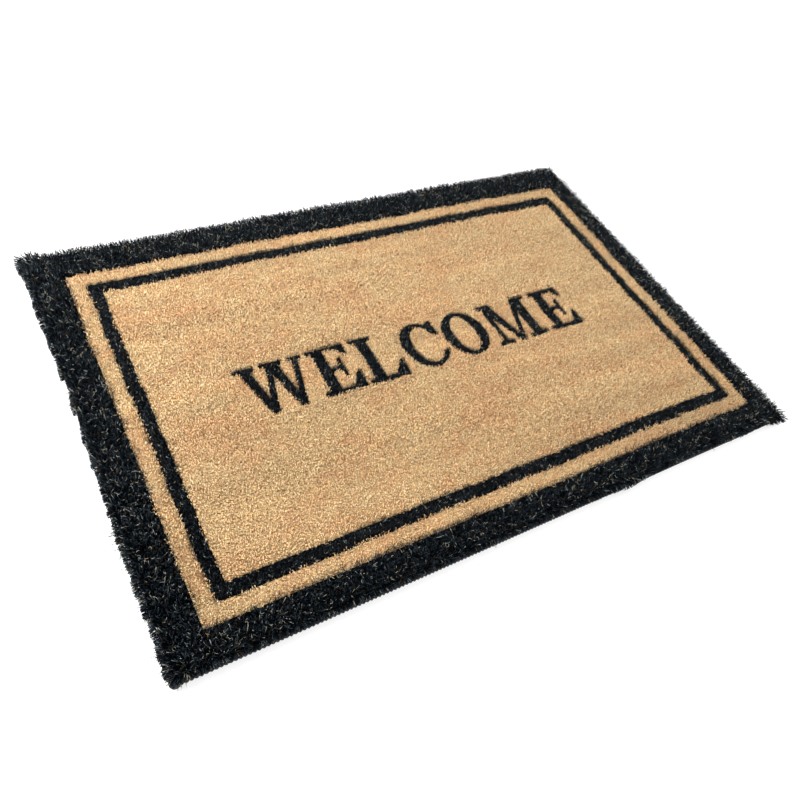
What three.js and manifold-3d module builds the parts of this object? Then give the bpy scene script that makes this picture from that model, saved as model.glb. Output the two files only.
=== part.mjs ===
// A hand-woven coir door mat: a woven ground, tufts of dyed and undyed pile inlaid in it zone by zone,
// and a dyed plait whipped to the ground's rim along each side with twine.
// Millimetres, +Z up. The origin is on the floor under the mat's middle, with X along its length.
import * as THREE from "three";
import Module from "manifold-3d";
import { mergeVertices } from "three/addons/utils/BufferGeometryUtils.js";

// Overall sizes.
const MAT_LENGTH = 914;
const MAT_WIDTH = 610;
const BORDER_TOP = 25; // top of the border's pile above the floor
const FIELD_TOP = 24; // top of all the pile inside the border, which is sheared level

// Widths of the three frames around the field. The mat is woven by hand, so its sides differ.
const BORDER = { left: 44, right: 39, front: 38, back: 53 };
const BAND = { left: 20, right: 20, front: 20.5, back: 20.5 };
const LINE = { left: 17, right: 17, front: 18.5, back: 18.5 };

// Woven ground: a full-thickness middle with a thinner raised rim, which the edge stitches go through.
const GROUND_THICKNESS = 6;
const RIM_WIDTH = 6;
const GROUND_CORNER = 8;

// Edge plait and the twine that whips it to the rim.
const PLAIT_WIDTH = 8;
const PLAIT_HEIGHT = 7;
const PLAIT_SIDES = 8;
const TWINE_RADIUS = 0.8;
const TWINE_SIDES = 5;
const STITCH_SPACING = 60;
const HOLE_CLEARANCE = 0.7; // round the twine, where it goes through the rim
const HOLE_SIDES = 6;
const OVERHANG = 1.6; // how far the pile stands out past the twine

// Border pile: its outer edge is rounded and hangs over the plait.
const MAT_CORNER = 14;
const PILE_EDGE_RADIUS = 5;
const ROUND_STEPS = 3;

// Lettering: the word stands in the field, moved a little to the left of its middle.
const LETTER_HEIGHT = 80;
const THICK = 17; // thick strokes
const THIN = 9; // thin strokes
const SERIF = 8; // depth of a serif
const SERIF_OUT = 9; // how far a serif stands out past its stroke
const SERIF_TAPER = 2; // how much each end of a serif narrows towards its stroke
const BEAK = 21; // how far the points at the ends of arms reach
const ARM_END = 17; // how far the end of a middle arm reaches up and down
const FOOT = 0.6; // a thick slanting stroke's width at the base line, as a share of its width at the top
const WORD_SHIFT = -5;
const OVERSHOOT = 1; // how far round letters pass the line of the flat ones
const ROUND_SEGMENTS = 32;

const GAP = 0.3; // between pieces that touch
const PAST = 5; // how far a cutting solid runs past what it cuts

const COIR_NATURAL = { color: 0xc79a5d, roughness: 0.95, metalness: 0 };
const COIR_BLACK = { color: 0x15171c, roughness: 0.9, metalness: 0 };
const COIR_GROUND = { color: 0x9a7644, roughness: 0.95, metalness: 0 };
const TWINE_BLACK = { color: 0x1d1d20, roughness: 0.8, metalness: 0 };

const wasm = await Module();
wasm.setup();
const mat = new THREE.Group();

// ---- Solids ----

function solidOf(geometry) {
  geometry.deleteAttribute("normal");
  geometry.deleteAttribute("uv");
  const merged = mergeVertices(geometry, 1e-4);
  const mesh = new wasm.Mesh({
    numProp: 3,
    vertProperties: merged.getAttribute("position").array,
    triVerts: new Uint32Array(merged.getIndex().array),
  });
  return new wasm.Manifold(mesh);
}

function geometryOf(solid) {
  const { vertProperties, triVerts } = solid.getMesh();
  const geometry = new THREE.BufferGeometry();
  geometry.setAttribute("position", new THREE.BufferAttribute(vertProperties, 3));
  geometry.setIndex(new THREE.BufferAttribute(triVerts, 1));
  return geometry;
}

function addPiece(name, geometry, finish) {
  const shown = geometry.index ? geometry.toNonIndexed() : geometry;
  shown.computeVertexNormals();
  const piece = new THREE.Mesh(shown, new THREE.MeshStandardMaterial(finish));
  piece.name = name;
  mat.add(piece);
}

// A shape in plan made solid from one height to another.
function prism(shape, bottom, top) {
  const depth = top - bottom;
  const geometry = new THREE.ExtrudeGeometry(shape, { depth, bevelEnabled: false });
  return geometry.translate(0, 0, bottom);
}

function union(solids) {
  return solids.reduce((joined, solid) => joined.add(solid));
}

// ---- Plan of the mat ----

// A rectangle in plan is { left, right, front, back }, as places on X and Y.
function inset(rectangle, by) {
  return {
    left: rectangle.left + by.left,
    right: rectangle.right - by.right,
    front: rectangle.front + by.front,
    back: rectangle.back - by.back,
  };
}

function evenly(width) {
  return { left: width, right: width, front: width, back: width };
}

function rectangleShape({ left, right, front, back }) {
  return new THREE.Shape([
    new THREE.Vector2(left, front),
    new THREE.Vector2(right, front),
    new THREE.Vector2(right, back),
    new THREE.Vector2(left, back),
  ]);
}

function roundedShape({ left, right, front, back }, radius) {
  const shape = new THREE.Shape();
  shape.absarc(left + radius, front + radius, radius, Math.PI, 1.5 * Math.PI);
  shape.absarc(right - radius, front + radius, radius, 1.5 * Math.PI, 2 * Math.PI);
  shape.absarc(right - radius, back - radius, radius, 0, 0.5 * Math.PI);
  shape.absarc(left + radius, back - radius, radius, 0.5 * Math.PI, Math.PI);
  return new THREE.Shape(shape.getPoints(ROUND_STEPS + 1));
}

// The four bars of a frame: front and back run its whole length, left and right fit between them.
function bars(outer, widths) {
  const inner = inset(outer, widths);
  const slack = evenly(GAP / 2);
  return {
    front: inset({ ...outer, back: inner.front }, slack),
    back: inset({ ...outer, front: inner.back }, slack),
    left: inset({ ...outer, right: inner.left, front: inner.front, back: inner.back }, slack),
    right: inset({ ...outer, left: inner.right, front: inner.front, back: inner.back }, slack),
  };
}

const matPlan = {
  left: -MAT_LENGTH / 2,
  right: MAT_LENGTH / 2,
  front: -MAT_WIDTH / 2,
  back: MAT_WIDTH / 2,
};
const bandPlan = inset(matPlan, BORDER);
const linePlan = inset(bandPlan, BAND);
const fieldPlan = inset(linePlan, LINE);

// From the outer edge inwards: the pile's overhang, the twine's outer pass, the plait and the ground's rim.
const PLAIT_INSET = OVERHANG + 2 * TWINE_RADIUS + GAP;
const RIM_INSET = PLAIT_INSET + PLAIT_WIDTH + GAP;
const HOLE_INSET = RIM_INSET + RIM_WIDTH / 2;
const EDGE_BOTTOM = 2 * TWINE_RADIUS + 2 * GAP; // under the plait and the rim, where the twine passes
const PLAIT_TOP = EDGE_BOTTOM + PLAIT_HEIGHT;
const STITCH_TOP = PLAIT_TOP + 2 * TWINE_RADIUS + GAP;
const PILE_BOTTOM = GROUND_THICKNESS + GAP;
const rimPlan = inset(matPlan, evenly(RIM_INSET));
const middlePlan = inset(rimPlan, evenly(RIM_WIDTH));

// ---- Edge plait and whipping twine ----

// Each side's own frame: s runs along the side, d is the distance in from the mat's outer edge.
const SIDES = {
  front: { length: MAT_LENGTH, at: (s, d, z) => new THREE.Vector3(s, matPlan.front + d, z) },
  back: { length: MAT_LENGTH, at: (s, d, z) => new THREE.Vector3(-s, matPlan.back - d, z) },
  left: { length: MAT_WIDTH, at: (s, d, z) => new THREE.Vector3(matPlan.left + d, -s, z) },
  right: { length: MAT_WIDTH, at: (s, d, z) => new THREE.Vector3(matPlan.right - d, s, z) },
};
const LONG_SIDES = ["front", "back"];

// A tube's path through given points, with one step of the tube at each of them.
class PointPath extends THREE.Curve {
  constructor(points) {
    super();
    this.points = points;
  }

  getPoint(t) {
    const place = t * (this.points.length - 1);
    const before = Math.min(Math.floor(place), this.points.length - 2);
    return this.points[before].clone().lerp(this.points[before + 1], place - before);
  }

  getUtoTmapping(u) {
    return u;
  }
}

function tube(points, shape) {
  const extrudePath = new PointPath(points);
  return new THREE.ExtrudeGeometry(shape, { steps: points.length - 1, extrudePath });
}

function ellipseShape(centre, radiusX, radiusY, segments) {
  const corners = [];
  for (let i = 0; i < segments; i += 1) {
    const turn = (2 * Math.PI * (i + 0.5)) / segments;
    corners.push(new THREE.Vector2(centre.x + radiusX * Math.cos(turn), centre.y + radiusY * Math.sin(turn)));
  }
  return new THREE.Shape(corners);
}

// The plaits of the long sides run right to the corners, and those of the short sides stop against them.
function plaitHalfLength(side) {
  const end = LONG_SIDES.includes(side) ? PLAIT_INSET : RIM_INSET;
  return SIDES[side].length / 2 - end;
}

function plait(side) {
  const middle = PLAIT_INSET + PLAIT_WIDTH / 2;
  const height = EDGE_BOTTOM + PLAIT_HEIGHT / 2;
  const half = plaitHalfLength(side);
  const flats = Math.cos(Math.PI / PLAIT_SIDES);
  const origin = new THREE.Vector2(0, 0);
  const section = ellipseShape(origin, PLAIT_HEIGHT / 2 / flats, PLAIT_WIDTH / 2 / flats, PLAIT_SIDES);
  const ends = [-half, half].map((s) => SIDES[side].at(s, middle, height));
  return tube(ends, section);
}

function stitchPlaces(side) {
  const half = plaitHalfLength(side) - STITCH_SPACING / 2;
  const count = Math.floor((2 * half) / STITCH_SPACING) + 1;
  const places = [];
  for (let i = 0; i < count; i += 1) places.push((i - (count - 1) / 2) * STITCH_SPACING);
  return places;
}

// One strand for the whole side: down through the rim, out under the plait, up its outer face,
// and slanting back over it to the next hole.
function twine(side) {
  const clear = TWINE_RADIUS + GAP;
  const outer = PLAIT_INSET - clear;
  const under = TWINE_RADIUS + GAP / 2;
  const over = PLAIT_TOP + clear;
  const bend = PLAIT_HEIGHT / 4; // each corner is taken in two steps
  const points = [];
  for (const s of stitchPlaces(side)) {
    points.push(
      SIDES[side].at(s, HOLE_INSET, PILE_BOTTOM + clear),
      SIDES[side].at(s, HOLE_INSET, EDGE_BOTTOM - GAP),
      SIDES[side].at(s, HOLE_INSET - bend, under),
      SIDES[side].at(s, outer + bend, under),
      SIDES[side].at(s, outer, under + bend),
      SIDES[side].at(s, outer, over - bend),
      SIDES[side].at(s + bend, outer + bend, over),
      SIDES[side].at(s + STITCH_SPACING / 2, RIM_INSET, over),
    );
  }
  const section = ellipseShape(new THREE.Vector2(0, 0), TWINE_RADIUS, TWINE_RADIUS, TWINE_SIDES);
  return tube(points, section);
}

for (const side of Object.keys(SIDES)) {
  addPiece(`edge_plait_${side}`, plait(side), COIR_BLACK);
  addPiece(`edge_twine_${side}`, twine(side), TWINE_BLACK);
}

// ---- Woven ground ----

function ground() {
  const middle = solidOf(prism(roundedShape(middlePlan, GROUND_CORNER), 0, GROUND_THICKNESS));
  const rim = solidOf(prism(roundedShape(rimPlan, GROUND_CORNER), EDGE_BOTTOM, GROUND_THICKNESS));
  const holes = [];
  for (const [side, { at }] of Object.entries(SIDES)) {
    for (const s of stitchPlaces(side)) {
      const radius = TWINE_RADIUS + HOLE_CLEARANCE;
      const shape = ellipseShape(at(s, HOLE_INSET, 0), radius, radius, HOLE_SIDES);
      holes.push(solidOf(prism(shape, -PAST, GROUND_THICKNESS + PAST)));
    }
  }
  return union([middle, rim]).subtract(union(holes));
}

addPiece("ground_weave", geometryOf(ground()), COIR_GROUND);

// ---- Border pile ----

// The whole border's outer form: a rounded slab over the plait, and the part that stands on the ground.
function borderForm() {
  const bottom = STITCH_TOP + GAP;
  const radius = Math.min(PILE_EDGE_RADIUS, 0.45 * (BORDER_TOP - bottom));
  const slab = new THREE.ExtrudeGeometry(
    roundedShape(inset(matPlan, evenly(radius)), MAT_CORNER - radius),
    {
      depth: BORDER_TOP - bottom - 2 * radius,
      bevelThickness: radius,
      bevelSize: radius,
      bevelSegments: ROUND_STEPS,
    },
  );
  slab.translate(0, 0, bottom + radius);
  const standing = prism(roundedShape(middlePlan, GROUND_CORNER), PILE_BOTTOM, BORDER_TOP - radius);
  return solidOf(slab).add(solidOf(standing));
}

// Each side's bar is cut from that form, by a box that runs past its outer edge.
const border = borderForm();
const borderCuts = Object.fromEntries(Object.entries(BORDER).map(([side, width]) => [side, width + PAST]));
for (const [side, plan] of Object.entries(bars(inset(matPlan, evenly(-PAST)), borderCuts))) {
  const cutter = solidOf(prism(rectangleShape(plan), -PAST, BORDER_TOP + PAST));
  addPiece(`border_pile_${side}`, geometryOf(border.intersect(cutter)), COIR_BLACK);
}

// ---- Band and line ----

for (const [side, plan] of Object.entries(bars(bandPlan, BAND))) {
  addPiece(`band_pile_${side}`, prism(rectangleShape(plan), PILE_BOTTOM, FIELD_TOP), COIR_NATURAL);
}
for (const [side, plan] of Object.entries(bars(linePlan, LINE))) {
  addPiece(`line_pile_${side}`, prism(rectangleShape(plan), PILE_BOTTOM, FIELD_TOP), COIR_BLACK);
}

// ---- Letters ----

// A letter is a list of outlines that are joined. Each is drawn from its own left edge, on a base line at 0.
const H = LETTER_HEIGHT;
const MID = H / 2;
const ROUND_HALF = MID + OVERSHOOT; // half the height of a round letter

function polygon(...corners) {
  return { corners: corners.map(([x, y]) => new THREE.Vector2(x, y)) };
}

function stem(x, width) {
  return polygon([x, 0], [x + width, 0], [x + width, H], [x, H]);
}

// A slanting stroke between a place on the top line and one on the base line, narrower at the bottom.
function slant(top, topWidth, foot, footWidth) {
  return polygon([foot, 0], [foot + footWidth, 0], [top + topWidth, H], [top, H]);
}

// Serifs are bars that narrow towards their stroke.
function topSerif(x, width) {
  const [left, right] = [x + SERIF_TAPER, x + width - SERIF_TAPER];
  return polygon([left, H - SERIF], [right, H - SERIF], [x + width, H], [x, H]);
}

function footSerif(x, width) {
  const [left, right] = [x + SERIF_TAPER, x + width - SERIF_TAPER];
  return polygon([x, 0], [x + width, 0], [right, SERIF], [left, SERIF]);
}

// The point that rises from the end of a foot, between two places on the base line.
function footBeak(start, end) {
  const top = SERIF + BEAK;
  return polygon([end, 0], [end, top], [end - 5, top], [start, SERIF], [start, 0]);
}

const LETTERS = {
  w: {
    width: 97,
    outlines: [
      slant(6, THICK, 27, FOOT * THICK),
      slant(46, THIN, 28, THIN),
      slant(44, THICK, 65, FOOT * THICK),
      slant(83, THIN, 66, THIN),
      topSerif(0, 31),
      topSerif(37, 32),
      topSerif(75, 22),
    ],
  },
  e: {
    width: 62,
    outlines: [
      stem(SERIF_OUT, THICK),
      topSerif(0, 58),
      footSerif(0, 62),
      footBeak(46, 62),
      polygon([44, H - SERIF], [53, H - BEAK], [58, H - BEAK], [58, H]),
      polygon([20, MID - SERIF / 2], [42, MID - SERIF / 2], [42, MID + SERIF / 2], [20, MID + SERIF / 2]),
      polygon([36, MID], [40, MID - ARM_END], [45, MID - ARM_END], [45, MID + ARM_END], [40, MID + ARM_END]),
    ],
  },
  l: {
    width: 61,
    outlines: [
      stem(SERIF_OUT, THICK),
      topSerif(0, THICK + 2 * SERIF_OUT),
      footSerif(0, 61),
      footBeak(43, 61),
    ],
  },
  c: {
    width: 64,
    ring: { centre: 34, radius: 34, hole: { centre: 37, radius: 37 - THICK } },
    mouth: polygon([44, MID - 18], [80, MID - 14], [80, MID + 14], [44, MID + 12]),
    outlines: [polygon([57, MID + 13], [63, MID + 13], [64, H], [59, H], [50, H - 6])],
  },
  o: {
    width: 69,
    ring: { centre: 34.5, radius: 34.5, hole: { centre: 34.5, radius: 34.5 - THICK } },
    outlines: [],
  },
  m: {
    width: 91,
    outlines: [
      stem(SERIF_OUT, THIN),
      stem(91 - SERIF_OUT - THICK, THICK),
      slant(8, THICK, 37, FOOT * THICK),
      slant(65, THIN, 38, THIN),
      topSerif(0, SERIF_OUT + THICK),
      topSerif(64, 27),
      footSerif(0, THIN + 2 * SERIF_OUT),
      footSerif(91 - THICK - 2 * SERIF_OUT, THICK + 2 * SERIF_OUT),
    ],
  },
};

// Each letter of the word, with the space before it.
const WORD = [
  ["w", 0],
  ["e", 3],
  ["l", 4],
  ["c", 9],
  ["o", 5],
  ["m", 5],
  ["e", 6],
];

// Moves every side of a polygon outwards by one distance.
function outset(corners, distance) {
  return corners.map((corner, i) => {
    const before = corners[(i + corners.length - 1) % corners.length];
    const after = corners[(i + 1) % corners.length];
    const into = corner.clone().sub(before).normalize();
    const away = after.clone().sub(corner).normalize();
    const along = into.clone().sub(away);
    const turn = into.cross(away);
    return corner.clone().addScaledVector(along, distance / turn);
  });
}

function letterPart({ corners }, grow, heights) {
  return solidOf(prism(new THREE.Shape(outset(corners, grow)), ...heights));
}

function disc({ centre, radius }, radiusY, grow, heights) {
  const middle = new THREE.Vector2(centre, MID);
  return solidOf(prism(ellipseShape(middle, radius + grow, radiusY + grow, ROUND_SEGMENTS), ...heights));
}

function letterSolid(letter, grow, heights) {
  const past = [heights[0] - PAST, heights[1] + PAST];
  const parts = letter.outlines.map((outline) => letterPart(outline, grow, heights));
  if (letter.ring) {
    const { hole } = letter.ring;
    let ring = disc(letter.ring, ROUND_HALF, grow, heights);
    ring = ring.subtract(disc(hole, ROUND_HALF - SERIF, -grow, past));
    if (letter.mouth) ring = ring.subtract(letterPart(letter.mouth, -grow, past));
    parts.unshift(ring);
  }
  return union(parts);
}

const wordWidth = WORD.reduce((sum, [name, space]) => sum + space + LETTERS[name].width, 0);
const fieldMiddle = new THREE.Vector2(
  (fieldPlan.left + fieldPlan.right) / 2,
  (fieldPlan.front + fieldPlan.back) / 2,
);
const pileHeights = [PILE_BOTTOM, FIELD_TOP];
const cutHeights = [PILE_BOTTOM - PAST, FIELD_TOP + PAST];

let field = solidOf(prism(rectangleShape(inset(fieldPlan, evenly(GAP / 2))), ...pileHeights));
let pen = fieldMiddle.x + WORD_SHIFT - wordWidth / 2;
WORD.forEach(([name, space], i) => {
  const letter = LETTERS[name];
  pen += space;
  const place = [pen, fieldMiddle.y - MID, 0];
  const solid = letterSolid(letter, 0, pileHeights).translate(place);
  addPiece(`letter_${i + 1}_${name}`, geometryOf(solid), COIR_BLACK);
  const closed = letter.ring && !letter.mouth;
  const hole = closed
    ? disc(letter.ring, ROUND_HALF, GAP, cutHeights)
    : letterSolid(letter, GAP, cutHeights);
  field = field.subtract(hole.translate(place));
  if (closed) {
    const island = disc(letter.ring.hole, ROUND_HALF - SERIF, -GAP, pileHeights);
    addPiece(`${name}_middle_pile`, geometryOf(island.translate(place)), COIR_NATURAL);
  }
  pen += letter.width;
});
addPiece("field_pile", geometryOf(field), COIR_NATURAL);

export default mat;
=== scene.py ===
"""Looks of a hand-woven coir door mat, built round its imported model. Metres, +Z up.

Every zone of pile is sown with separate fibres on a low bed, the ground is woven from yarns, and the edges
are plaited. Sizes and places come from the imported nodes.
"""

import math
from types import SimpleNamespace

import bpy
import numpy as np
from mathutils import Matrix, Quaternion, Vector
from mathutils.bvhtree import BVHTree


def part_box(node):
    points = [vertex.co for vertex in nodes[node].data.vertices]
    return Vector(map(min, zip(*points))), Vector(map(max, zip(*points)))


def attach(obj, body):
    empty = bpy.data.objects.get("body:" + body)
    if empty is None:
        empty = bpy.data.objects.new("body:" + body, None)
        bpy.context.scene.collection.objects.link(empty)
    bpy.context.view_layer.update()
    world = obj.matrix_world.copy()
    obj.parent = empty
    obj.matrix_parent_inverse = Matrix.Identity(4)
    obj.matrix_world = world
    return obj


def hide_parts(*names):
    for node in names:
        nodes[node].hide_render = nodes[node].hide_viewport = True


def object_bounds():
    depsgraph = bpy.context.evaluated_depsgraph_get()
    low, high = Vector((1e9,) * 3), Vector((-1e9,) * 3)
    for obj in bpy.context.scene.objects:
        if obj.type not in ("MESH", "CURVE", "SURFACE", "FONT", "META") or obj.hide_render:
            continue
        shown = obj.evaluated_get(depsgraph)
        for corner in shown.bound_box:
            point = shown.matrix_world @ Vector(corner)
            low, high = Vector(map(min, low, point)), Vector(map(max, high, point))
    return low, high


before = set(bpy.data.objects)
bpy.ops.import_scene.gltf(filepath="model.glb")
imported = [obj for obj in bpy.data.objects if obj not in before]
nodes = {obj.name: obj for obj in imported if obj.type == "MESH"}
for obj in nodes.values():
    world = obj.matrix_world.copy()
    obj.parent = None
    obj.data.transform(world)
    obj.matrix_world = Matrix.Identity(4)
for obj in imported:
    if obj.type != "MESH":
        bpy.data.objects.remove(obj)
cad_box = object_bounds()
bpy.ops.object.select_all(action="DESELECT")

MM = 0.001
NEAR = 0.1 * MM  # a point this close to a plane counts as on it
MERGE = 0.01 * MM
SIDES = ("front", "back", "left", "right")
LETTERS = sorted(name for name in nodes if name.startswith("letter_"))

# ---- Sizes of the pile ----

SHEARED = SimpleNamespace(
    spacing=1.30 * MM,  # between fibres
    depth=3.6 * MM,  # from the cut tips down to the bed
    radius=0.46 * MM,  # of a fibre where it is thickest
    lean=0.36,  # how far a fibre leans on its own, as a tangent
    tuft_lean=0.20,  # and with the rest of its tuft
    tuft=3.9 * MM,
    uneven=0.45 * MM,  # how far the tips stand above or below the zone's top
)
INLAID = SimpleNamespace(
    spacing=1.30 * MM,
    depth=3.8 * MM,
    radius=0.44 * MM,
    lean=0.40,
    tuft_lean=0.26,
    tuft=3.9 * MM,
    uneven=0.7 * MM,
)
SHAGGY = SimpleNamespace(
    spacing=1.30 * MM,
    depth=6.0 * MM,
    radius=0.36 * MM,
    lean=0.50,
    tuft_lean=0.20,
    tuft=5 * MM,
    uneven=0.9 * MM,
    tall=1.3 * MM,  # how much taller or shorter a whole tuft may be
    gather=0.4,  # how far a tuft's fibres lean together
    splay_spread=0.45,  # how much more the tall tufts splay at the edges
    root_drop=3 * MM,  # how much lower the outermost fibres stand
    tip_drop=2.5 * MM,  # and end
)
LEAN_LIMIT = 1.3  # past this lean a fibre gets no longer
THICKNESSES = (0.6, 1.2)  # of single fibres, as shares of their pile's
WANDER = 5 * MM  # no fibre stands further than this from its home in the weave
JITTER = 0.45  # how far a fibre's root may stand from its place, as a share of the spacing
# Neighbouring fibres are often from one bunch, small or large, and share its colour: the bunches' sizes, and
# the share of the fibres that belong to each.
BUNCHES = ((2.0 * MM, 0.40), (3.4 * MM, 0.25))
LONG_SHARE = 0.22  # of the border's fibres are long and curved
LONG_STRETCH = 1.15
WORD_STEPS = 0.38  # round the word, where more care is taken, the tufts stand off their places by this share
WORD_LEAN = 0.75  # and their fibres lean by this share
FIELD_STRIPS = 5  # the field is woven in this many strips, from front to back

EDGE_INSET = 3.5 * MM  # from the outer edge of the border's pile in to the bed's side
EDGE_CORNER = 4 * MM
EDGE_ROW = 1.7 * MM  # between rows of fibres on the bed's side
EDGE_TUFT = 9 * MM
EDGE_RADIUS = 0.48 * MM
EDGE_ROOT = 1.5 * MM  # how deep in the bed those fibres start
SPLAY_WIDTH = 16 * MM  # the border's outer tufts lean outwards over this width
SPLAY_CURVE = 1.5
BED_ROUND = 3 * MM
BED_LIFT = 0.3 * MM  # of the border's bed over the twine

# splay: how far the outermost tufts of the top lean out. length, rise and spread: of the fibres on the bed's
# side. reach: how far the shears let fibres stand out from the mat's edge. step and ragged: how much that
# changes from tuft to tuft, and from fibre to fibre. The front is trimmed close, and the rest is left shaggy.
EDGES = {
    "front": SimpleNamespace(
        splay=0.55, length=14 * MM, rise=0.7, spread=0.20, reach=0.2 * MM, step=0.3 * MM, ragged=0.12 * MM
    ),
    "back": SimpleNamespace(
        splay=0.95, length=12 * MM, rise=0.9, spread=0.26, reach=3.2 * MM, step=1.5 * MM, ragged=0.32 * MM
    ),
    "left": SimpleNamespace(
        splay=1.30, length=14 * MM, rise=0.3, spread=0.24, reach=3.4 * MM, step=1.7 * MM, ragged=0.42 * MM
    ),
    "right": SimpleNamespace(
        splay=1.15, length=15 * MM, rise=0.5, spread=0.24, reach=5.4 * MM, step=2.4 * MM, ragged=0.40 * MM
    ),
}
CORNER_REACH = 30 * MM  # from a corner in, the pile is drawn out towards it
CORNER_PULL = 0.8
CORNER_GIRTH = 0.4  # how much thicker the fibres at the corners are
# How much further out the shears left each corner than the edges: left or right, and front or back.
CORNER_STAND = {(-1, -1): 0, (1, -1): 11 * MM, (-1, 1): 9 * MM, (1, 1): 3 * MM}
BULGE_CHANGE = 0.5  # from tuft to tuft, as a share of the bulge
# Where an edge bulges or is cut in: the side, the place along it, over what width, and by how much.
BULGES = (
    ("left", 0.06, 0.10, -3 * MM),
    ("back", -0.30, 0.15, -2.2 * MM),
    ("back", 0.22, 0.10, 1.5 * MM),
    ("front", 0.14, 0.06, 3.2 * MM),
    ("front", 0.38, 0.05, 1.6 * MM),
)

# The ground's yarns go over and under each other in a plain weave, and a thin backing closes the gaps.
YARN_PITCH = 12 * MM
YARN_WIDTH = 7.4 * MM
YARN_HEIGHT = 2.7 * MM
YARN_WAVE = 1.35 * MM
YARN_SIDES = 6
BACKING_BOTTOM = 3.6 * MM

PLAIT_CYCLE = 15 * MM
PLAIT_STEPS = 12  # in a cycle
PLAIT_SINK = 0.4 * MM  # below the middle of its slot
PLAIT_SWING = 1.2 * MM  # of a strand from side to side
PLAIT_WAVE = 1.9 * MM  # and up and down
STRAND_RADIUS = 2.5 * MM
STRAND_WIDTH = 1.1  # times its height
PLAIT_STAND = {"front": 3.2 * MM, "back": 0.9 * MM, "left": 0.9 * MM, "right": 0.9 * MM}  # out from its slot
PLAIT_END = 2 * MM  # from the slot's end to the last of the strands, where there is a knot
KNOT_SIZE = (6.5 * MM, 5.6 * MM, 4.6 * MM)


def rectangle(name):
    """A node's outline in plan: left, right, front and back."""
    low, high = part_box(name)
    return SimpleNamespace(left=low.x, right=high.x, front=low.y, back=high.y)


mat_plan = SimpleNamespace(left=cad_box[0][0], right=cad_box[1][0], front=cad_box[0][1], back=cad_box[1][1])
field_plan = rectangle("field_pile")
FIELD_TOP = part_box("field_pile")[1].z
BORDER_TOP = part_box("border_pile_front")[1].z
GROUND_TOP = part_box("ground_weave")[1].z
TWINE_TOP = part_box("edge_twine_front")[1].z


def ground_reach():
    """How far the ground's thick middle reaches along each axis, inside its thin rim."""
    low = [v.co for v in nodes["ground_weave"].data.vertices if v.co.z < NEAR]
    return max(co.x for co in low) - MM, max(co.y for co in low) - MM


GROUND_REACH = ground_reach()


def seeded(*key):
    """A random source that a piece gets from its name, so that the order of the pieces doesn't matter."""
    return np.random.default_rng([ord(letter) for letter in " ".join(map(str, key))])


# ---- Shader maths ----


class Value:
    """A shader socket. Sums on it add Math nodes."""

    def __init__(self, finish, socket):
        self.finish = finish
        self.socket = socket

    def sum(self, operation, *terms):
        return self.finish.node("ShaderNodeMath", {"operation": operation}, dict(enumerate(terms)))

    def __add__(self, other):
        return self.sum("ADD", self, other)

    def __mul__(self, other):
        return self.sum("MULTIPLY", self, other)

    def __pow__(self, other):
        return self.sum("POWER", self, other)

    def __rpow__(self, other):
        return self.sum("POWER", other, self)

    __radd__ = __add__
    __rmul__ = __mul__


class Finish:
    """One material and its nodes."""

    def __init__(self, name, roughness, **constants):
        self.material = bpy.data.materials.new(name)
        self.material.use_nodes = True
        self.tree = self.material.node_tree
        self.shader = self.tree.nodes["Principled BSDF"]
        self.shader.inputs["Roughness"].default_value = roughness
        for socket, value in constants.items():
            self.shader.inputs[socket.replace("_", " ")].default_value = value

    def node(self, kind, settings, inputs, output=0):
        """A node with its settings, then its inputs: numbers, colours or Values."""
        made = self.tree.nodes.new(kind)
        for name, value in settings.items():
            if name == "stops":
                self.set_stops(made.color_ramp, value)
            else:
                setattr(made, name, value)
        for socket, value in inputs.items():
            if isinstance(value, Value):
                self.tree.links.new(value.socket, made.inputs[socket])
            else:
                made.inputs[socket].default_value = value
        return Value(self, made.outputs[output])

    @staticmethod
    def set_stops(ramp, stops):
        while len(ramp.elements) < len(stops):
            ramp.elements.new(1)
        for element, (place, colour) in zip(ramp.elements, stops):
            element.position = place
            element.color = (*colour, 1)

    def attribute(self, name):
        return self.node("ShaderNodeAttribute", {"attribute_name": name}, {}, "Fac")

    def place(self, stretch=(1, 1, 1)):
        """Object coordinates in metres, stretched along each axis."""
        own = self.node("ShaderNodeTexCoord", {}, {}, "Object")
        return self.node("ShaderNodeMapping", {}, {"Vector": own, "Scale": stretch})

    def noise(self, place, scale, detail=2, roughness=0.5):
        inputs = {"Vector": place, "Scale": scale, "Detail": detail, "Roughness": roughness}
        return self.node("ShaderNodeTexNoise", {}, inputs, "Fac")

    def spread(self, value, low, high, to_low=0.0, to_high=1.0):
        """value mapped from low..high to to_low..to_high, and held there."""
        inputs = {"Value": value, "From Min": low, "From Max": high, "To Min": to_low, "To Max": to_high}
        return self.node("ShaderNodeMapRange", {"clamp": True}, inputs)

    def ramp(self, value, stops):
        return self.node("ShaderNodeValToRGB", {"stops": stops}, {"Fac": value})

    def mix(self, share, first, second, blend="MIX"):
        first, second = (c if isinstance(c, Value) else (*c, 1) for c in (first, second))
        settings = {"data_type": "RGBA", "blend_type": blend}
        return self.node("ShaderNodeMix", settings, {0: share, 6: first, 7: second}, 2)

    def dim(self, colour, by):
        """A colour times a number."""
        return self.node("ShaderNodeVectorMath", {"operation": "SCALE"}, {0: colour, 3: by})

    def bump(self, height, strength, distance):
        inputs = {"Height": height, "Strength": strength, "Distance": distance}
        normal = self.node("ShaderNodeBump", {}, inputs, "Normal")
        self.tree.links.new(normal.socket, self.shader.inputs["Normal"])

    def colour(self, value):
        self.tree.links.new(value.socket, self.shader.inputs["Base Color"])
        return self.material


# ---- Finishes ----

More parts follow.
